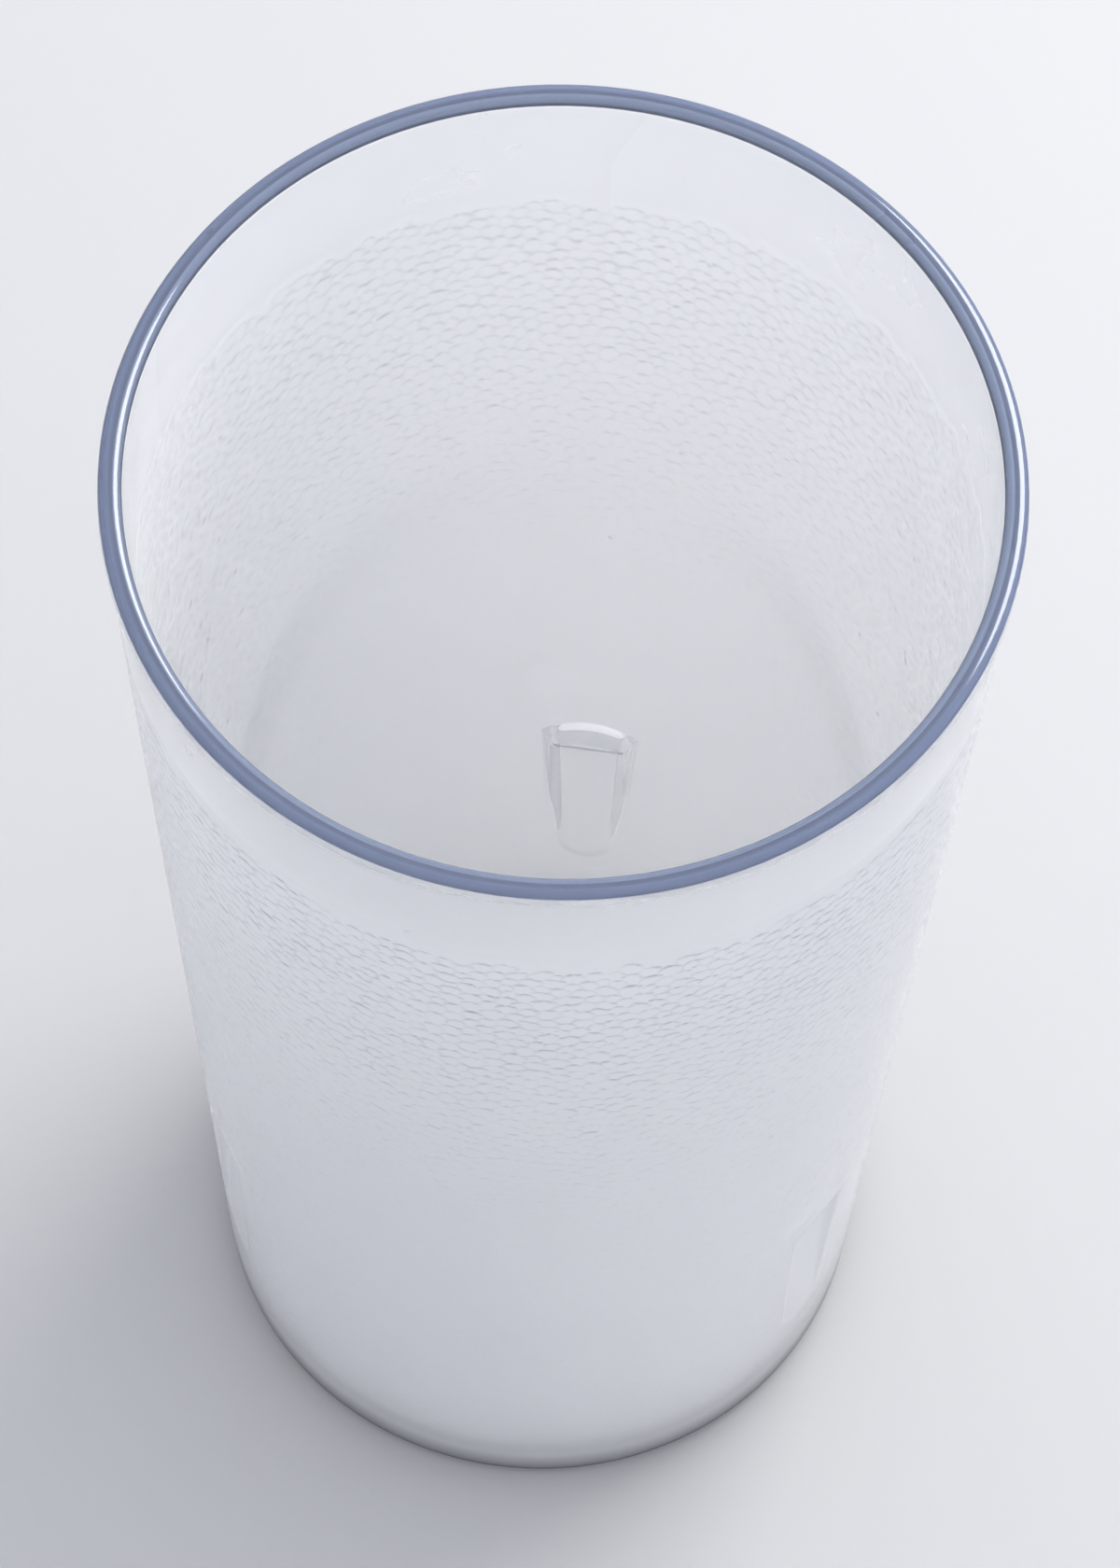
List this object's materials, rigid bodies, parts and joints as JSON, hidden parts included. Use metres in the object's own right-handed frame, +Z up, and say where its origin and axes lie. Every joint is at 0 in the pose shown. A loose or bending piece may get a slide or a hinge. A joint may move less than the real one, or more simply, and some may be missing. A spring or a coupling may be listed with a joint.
{
  "type": "plastic tumbler cup",
  "caption": "Tall tapered drinking tumbler in clear plastic, with a thick rounded lip, a pebbled wall and stacking lugs near its foot.",
  "frame": {"origin": "centre of the foot, on the surface that the tumbler stands on", "axes": "+Z up along the tumbler's axis, from the foot to the lip; one stacking lug lies 36.3 degrees from +X towards -Y"},
  "size_m": [0.082, 0.082, 0.149],
  "materials": {
    "clear_plastic": "clear and faintly blue, glossy inside and at the lip, pebbled satin on the outer wall"
  },
  "bodies": {
    "root": {"tumbler": "clear_plastic"}
  },
  "joints": []
}
